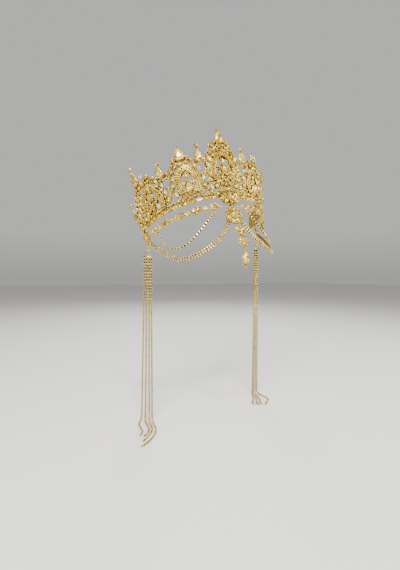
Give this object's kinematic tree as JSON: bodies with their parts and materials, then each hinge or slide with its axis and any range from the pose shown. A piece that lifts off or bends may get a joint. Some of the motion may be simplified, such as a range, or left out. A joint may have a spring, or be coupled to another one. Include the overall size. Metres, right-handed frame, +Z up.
{
  "type": "bridal crown",
  "caption": "Half-ring bridal crown of pierced gilt metal with pear and round stones, a forehead band, draped chain swags, a pendant over the brow and a chain tassel at each ear.",
  "frame": {"origin": "centre of the crown's base ring, the oval that sits round the head, where a head or a display form carries it", "axes": "+Z up, -Y to the front over the brow, +X to the wearer's left; the crown is tilted back and a little to one side, as it is worn in the picture"},
  "size_m": [0.1983, 0.1168, 0.3487],
  "materials": {
    "gilt_brass": "gilt, polished",
    "champagne_glass": "faceted, foil-backed, in gilt cups",
    "amber_glass": "faceted, foil-backed, in gilt cups",
    "cup_chain": "gilt cups with small clear cut-glass stones"
  },
  "bodies": {
    "root": {"base_row_left": "amber_glass", "base_row_right": "amber_glass", "centre_medallion": "amber_glass", "crown_frame": "gilt_brass", "dangle_brow_left": "champagne_glass", "dangle_brow_right": "champagne_glass", "dangle_centre": "champagne_glass", "dangle_outer_left": "champagne_glass", "dangle_outer_right": "champagne_glass", "drop_link_left": "amber_glass", "drop_link_right": "amber_glass", "forehead_band_left": "champagne_glass", "forehead_band_right": "champagne_glass", "forehead_medallion": "amber_glass", "pendant_cluster": "amber_glass", "pendant_drop": "champagne_glass", "pendant_link_lower": "gilt_brass", "pendant_link_upper": "gilt_brass", "side_connector_left": "amber_glass", "side_connector_right": "amber_glass", "small_link_left": "gilt_brass", "small_link_right": "gilt_brass", "spire_brow_left": "champagne_glass", "spire_brow_right": "champagne_glass", "spire_centre": "champagne_glass", "spire_end_left": "champagne_glass", "spire_end_right": "champagne_glass", "spire_inner_left": "champagne_glass", "spire_inner_right": "champagne_glass", "spire_outer_left": "champagne_glass", "spire_outer_right": "champagne_glass", "spire_side_left": "champagne_glass", "spire_side_right": "champagne_glass", "spire_temple_left": "champagne_glass", "spire_temple_right": "champagne_glass", "swag_double_left": "cup_chain", "swag_double_right": "cup_chain", "swag_single_left": "cup_chain", "swag_single_right": "cup_chain", "tassel_bar_left": "gilt_brass", "tassel_bar_right": "gilt_brass", "tassel_ring_left": "gilt_brass", "tassel_ring_right": "gilt_brass", "tassel_strand_1_left": "cup_chain", "tassel_strand_1_right": "cup_chain", "tassel_strand_2_left": "cup_chain", "tassel_strand_2_right": "cup_chain", "tassel_strand_3_left": "cup_chain", "tassel_strand_3_right": "cup_chain", "tassel_strand_4_left": "cup_chain", "tassel_strand_4_right": "cup_chain"}
  },
  "joints": []
}
